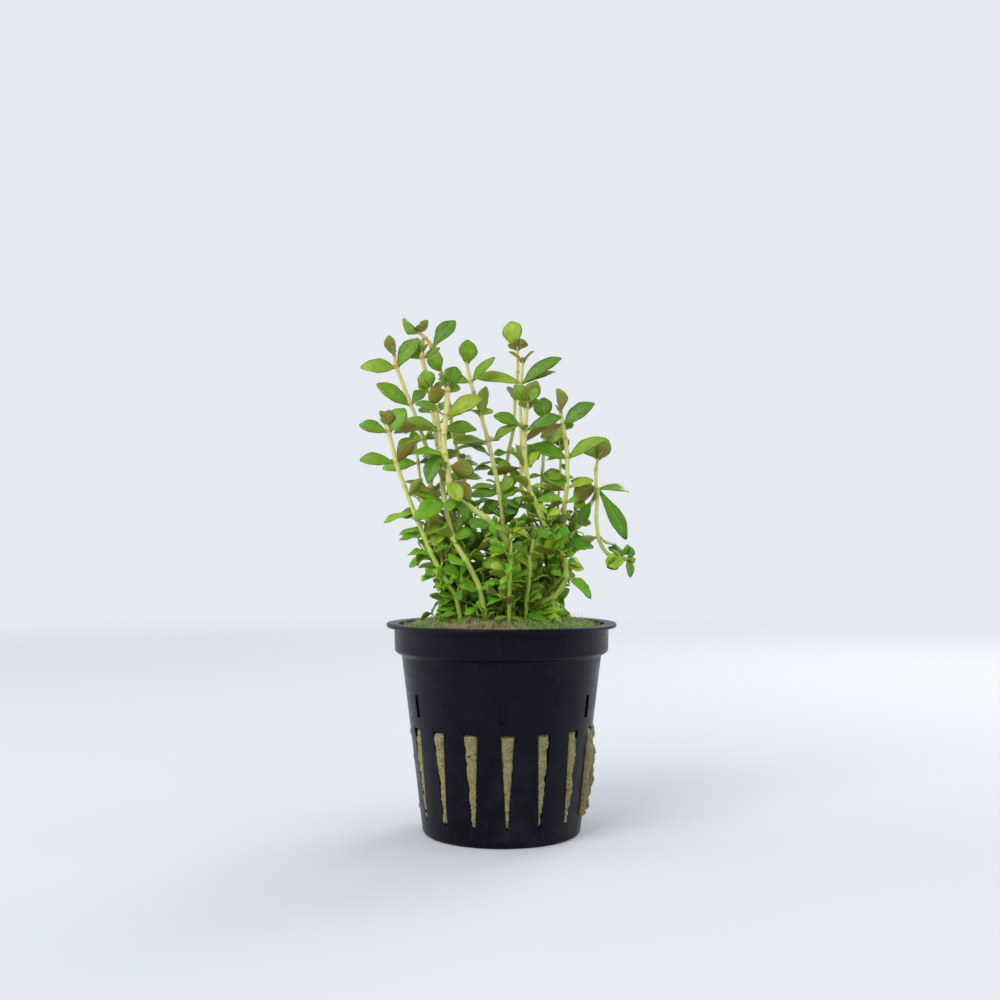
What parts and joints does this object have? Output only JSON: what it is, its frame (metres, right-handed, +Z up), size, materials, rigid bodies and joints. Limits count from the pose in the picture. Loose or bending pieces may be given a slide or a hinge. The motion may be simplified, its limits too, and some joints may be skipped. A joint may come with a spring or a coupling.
{
  "type": "potted rotala aquarium plant",
  "caption": "Bunch of thin upright leafy aquarium-plant stems rooted in rock wool in a small tapered plastic net cup with upright slots.",
  "frame": {"origin": "centre of the cup's flat base, on the surface that it stands on", "axes": "+Z up along the cup's axis, -Y towards the viewer of the picture, +X to the viewer's right"},
  "size_m": [0.066, 0.055, 0.1251],
  "materials": {
    "cup_plastic": "satin",
    "rock_wool": "matte",
    "shoots": "satin"
  },
  "bodies": {
    "root": {"pot": "cup_plastic", "rock_wool": "rock_wool", "shoot_far_left": "shoots", "shoot_left": "shoots", "shoot_left_back": "shoots", "shoot_centre_left": "shoots", "shoot_fork_left": "shoots", "shoot_back_left": "shoots", "shoot_front": "shoots", "shoot_centre": "shoots", "shoot_tallest": "shoots", "shoot_middle_back": "shoots", "shoot_middle": "shoots", "shoot_right": "shoots", "shoot_back_right": "shoots", "shoot_back_thin": "shoots", "shoot_far_right": "shoots", "shoot_far_right_hanging": "shoots", "shoot_low_1": "shoots", "shoot_low_2": "shoots", "shoot_low_3": "shoots", "shoot_low_4": "shoots", "shoot_low_5": "shoots", "shoot_low_6": "shoots", "shoot_low_7": "shoots"}
  },
  "joints": []
}
